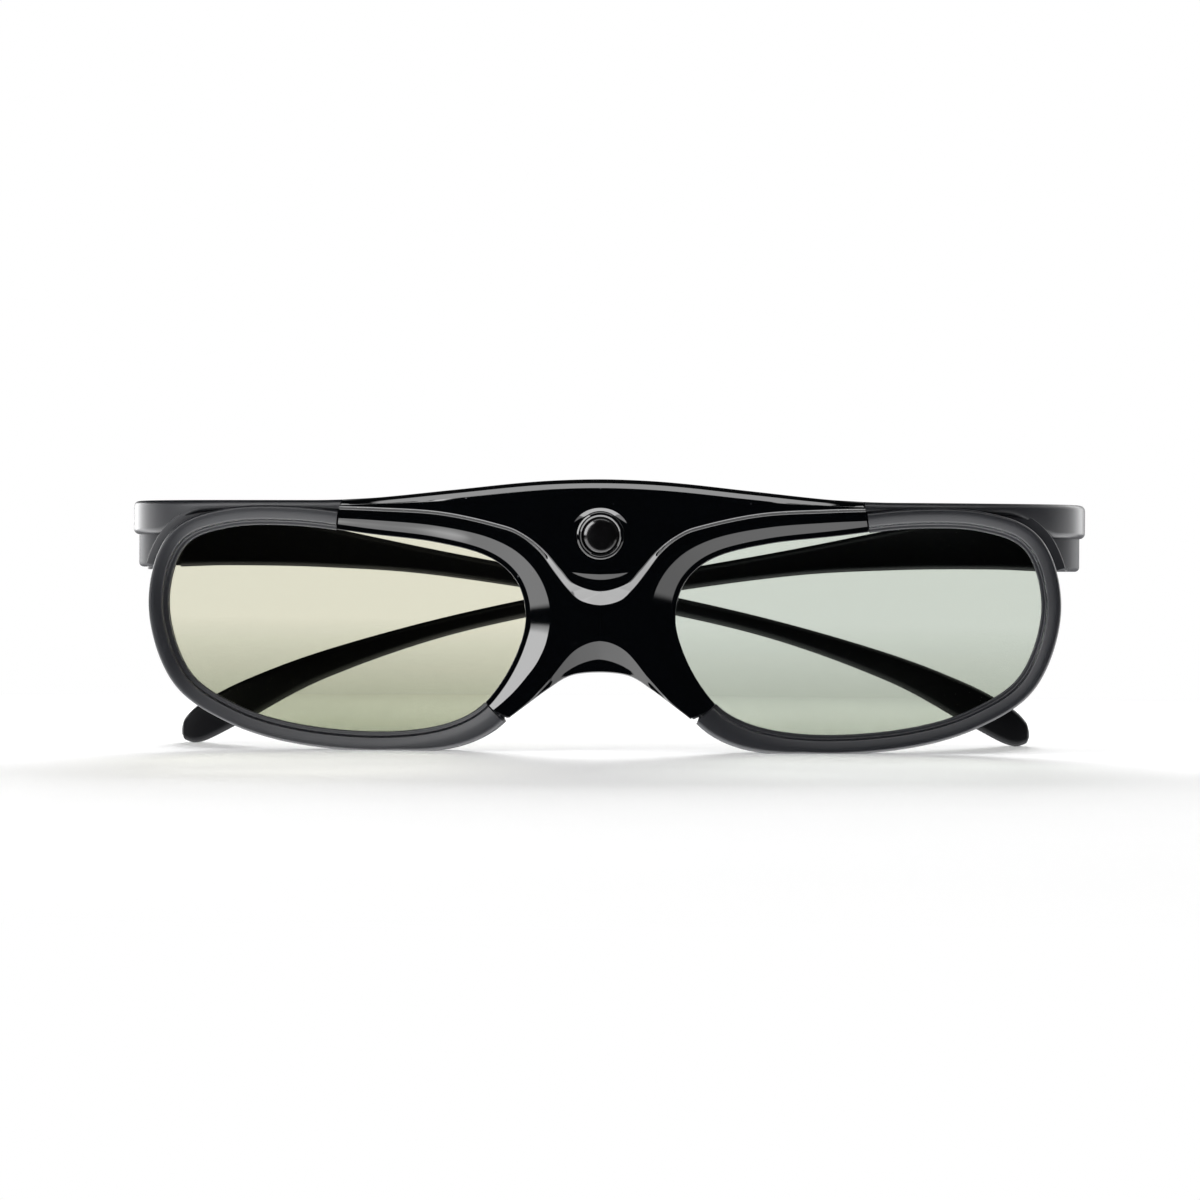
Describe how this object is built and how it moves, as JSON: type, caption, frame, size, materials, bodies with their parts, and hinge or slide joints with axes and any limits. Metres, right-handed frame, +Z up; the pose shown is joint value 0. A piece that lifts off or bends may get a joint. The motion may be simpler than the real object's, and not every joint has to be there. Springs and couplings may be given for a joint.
{
  "type": "3d glasses",
  "caption": "Shutter-lens 3D glasses with a gloss bridge cover, matte rims, a round sensor window over the nose and hinged temples shown folded.",
  "frame": {"origin": "middle of the bounding box, on the floor that the rims and the temple tips stand on", "axes": "+X to the right seen from the front, +Y from the front to the back, +Z up as worn"},
  "size_m": [0.1728, 0.0505, 0.0482],
  "materials": {
    "frame": "fine satin",
    "cover": "high gloss",
    "shutter": "clear, tinted",
    "film": "clear, tinted",
    "gasket": "matt foam",
    "flex": "smooth",
    "window": "polished, dark",
    "ring": "polished",
    "chip": "moulded",
    "board": "solder mask",
    "cell": "foil",
    "metal": "plated",
    "pad": "soft, matt",
    "pipe": "frosted"
  },
  "bodies": {
    "front": {"front_frame": "frame", "bridge_cover": "cover", "rear_cover": "frame", "window_ring": "ring", "sensor_window": "window", "photodiode": "chip", "circuit_board": "board", "board_chips": "chip", "battery": "cell", "charging_socket": "metal", "socket_tongue": "chip", "button_switch": "metal", "light_pipe": "pipe", "rear_screws": "metal", "left_shutter": "shutter", "left_front_film": "film", "left_rear_film": "film", "left_gasket": "gasket", "left_flex": "flex", "left_nose_pad": "pad", "left_hinge": "frame", "left_pin": "metal", "right_shutter": "shutter", "right_front_film": "film", "right_rear_film": "film", "right_gasket": "gasket", "right_flex": "flex", "right_nose_pad": "pad", "right_hinge": "frame", "right_pin": "metal"},
    "left_arm": {"left_temple": "frame"},
    "right_arm": {"right_temple": "frame"},
    "button": {"power_button": "frame"}
  },
  "joints": [
    {"name": "left_temple_hinge", "type": "hinge", "parent": "front", "child": "left_arm", "pos_m": [-0.0815, 0.00135, 0.03825], "axis": [0, 0, 1], "range_deg": [0, 84]},
    {"name": "right_temple_hinge", "type": "hinge", "parent": "front", "child": "right_arm", "pos_m": [0.0815, 0.00135, 0.03825], "axis": [0, 0, -1], "range_deg": [0, 89]},
    {"name": "button_press", "type": "slide", "parent": "front", "child": "button", "axis": [0, 0, 1], "range_m": [0, 0.0004], "stiffness_N_per_m": 1500, "springref_m": -0.0002}
  ]
}
